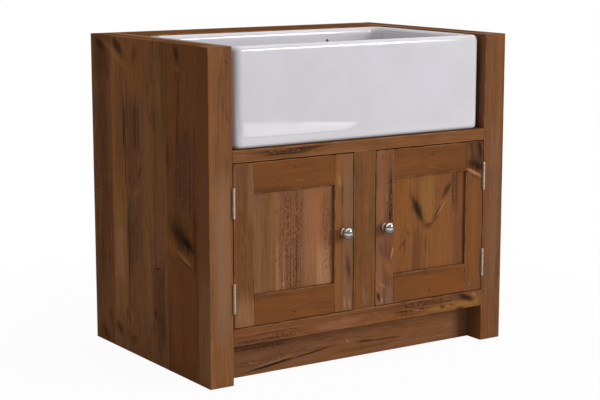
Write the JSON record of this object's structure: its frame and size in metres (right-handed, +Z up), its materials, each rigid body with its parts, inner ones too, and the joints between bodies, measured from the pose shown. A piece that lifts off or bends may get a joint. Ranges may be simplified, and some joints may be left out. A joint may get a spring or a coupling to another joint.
{
  "type": "sink unit",
  "caption": "Reclaimed pine base unit carrying a white glazed butler sink above inset panelled doors on butt hinges, with turned knobs, a set-back plinth and a strainer waste.",
  "frame": {"origin": "on the floor, at the middle of the box round the whole unit, knobs included", "axes": "+X along the front to the right, +Y from the front to the wall, +Z up"},
  "size_m": [0.96, 0.6784, 0.87],
  "materials": {
    "pine": "waxed reclaimed pine, mid brown with dark knots and saw marks",
    "inner_pine": "bare sawn pine",
    "glaze": "white gloss glaze",
    "nickel": "polished nickel plate",
    "hinge_steel": "satin plated steel",
    "bright_steel": "bright stainless steel",
    "rubber": "black rubber",
    "white_plastic": "white moulded plastic"
  },
  "bodies": {
    "carcass": {"left_front_post": "pine", "right_front_post": "pine", "left_side_panel": "pine", "right_side_panel": "pine", "left_inner_liner": "pine", "right_inner_liner": "pine", "left_top_strip": "pine", "right_top_strip": "pine", "sink_rail": "pine", "bottom_rail": "pine", "centre_stile": "pine", "plinth_board": "pine", "rear_top_board": "pine", "back_panel": "inner_pine", "cupboard_floor": "inner_pine", "rear_floor_bearer": "inner_pine", "left_sink_bearer": "inner_pine", "right_sink_bearer": "inner_pine", "rear_sink_bearer": "inner_pine", "left_ledge_cleat": "inner_pine", "right_ledge_cleat": "inner_pine", "sink_basin": "glaze", "waste_cup": "bright_steel", "waste_seal": "rubber", "waste_back_nut": "white_plastic", "waste_tail": "white_plastic", "left_upper_frame_leaf": "hinge_steel", "left_lower_frame_leaf": "hinge_steel", "right_upper_frame_leaf": "hinge_steel", "right_lower_frame_leaf": "hinge_steel", "left_upper_hinge_pin": "hinge_steel", "left_lower_hinge_pin": "hinge_steel", "right_upper_hinge_pin": "hinge_steel", "right_lower_hinge_pin": "hinge_steel", "left_catch": "white_plastic", "right_catch": "white_plastic"},
    "left_door": {"left_door_hinge_stile": "pine", "left_door_lock_stile": "pine", "left_door_top_rail": "pine", "left_door_bottom_rail": "pine", "left_door_panel": "pine", "left_knob": "nickel", "left_knob_rose": "nickel", "left_knob_screw": "bright_steel", "left_upper_door_leaf": "hinge_steel", "left_lower_door_leaf": "hinge_steel", "left_catch_plate": "bright_steel"},
    "right_door": {"right_door_hinge_stile": "pine", "right_door_lock_stile": "pine", "right_door_top_rail": "pine", "right_door_bottom_rail": "pine", "right_door_panel": "pine", "right_knob": "nickel", "right_knob_rose": "nickel", "right_knob_screw": "bright_steel", "right_upper_door_leaf": "hinge_steel", "right_lower_door_leaf": "hinge_steel", "right_catch_plate": "bright_steel"},
    "basket": {"strainer_basket": "bright_steel"}
  },
  "joints": [
    {"name": "left_door_hinge", "type": "hinge", "parent": "carcass", "child": "left_door", "pos_m": [-0.40875, -0.3093, 0.1505], "axis": [0, 0, -1], "range_deg": [0, 170]},
    {"name": "right_door_hinge", "type": "hinge", "parent": "carcass", "child": "right_door", "pos_m": [0.40875, -0.3093, 0.1505], "axis": [0, 0, 1], "range_deg": [0, 170]},
    {"name": "basket_lift", "type": "slide", "parent": "carcass", "child": "basket", "axis": [0, 0, 1], "range_m": [0, 0.08]}
  ]
}
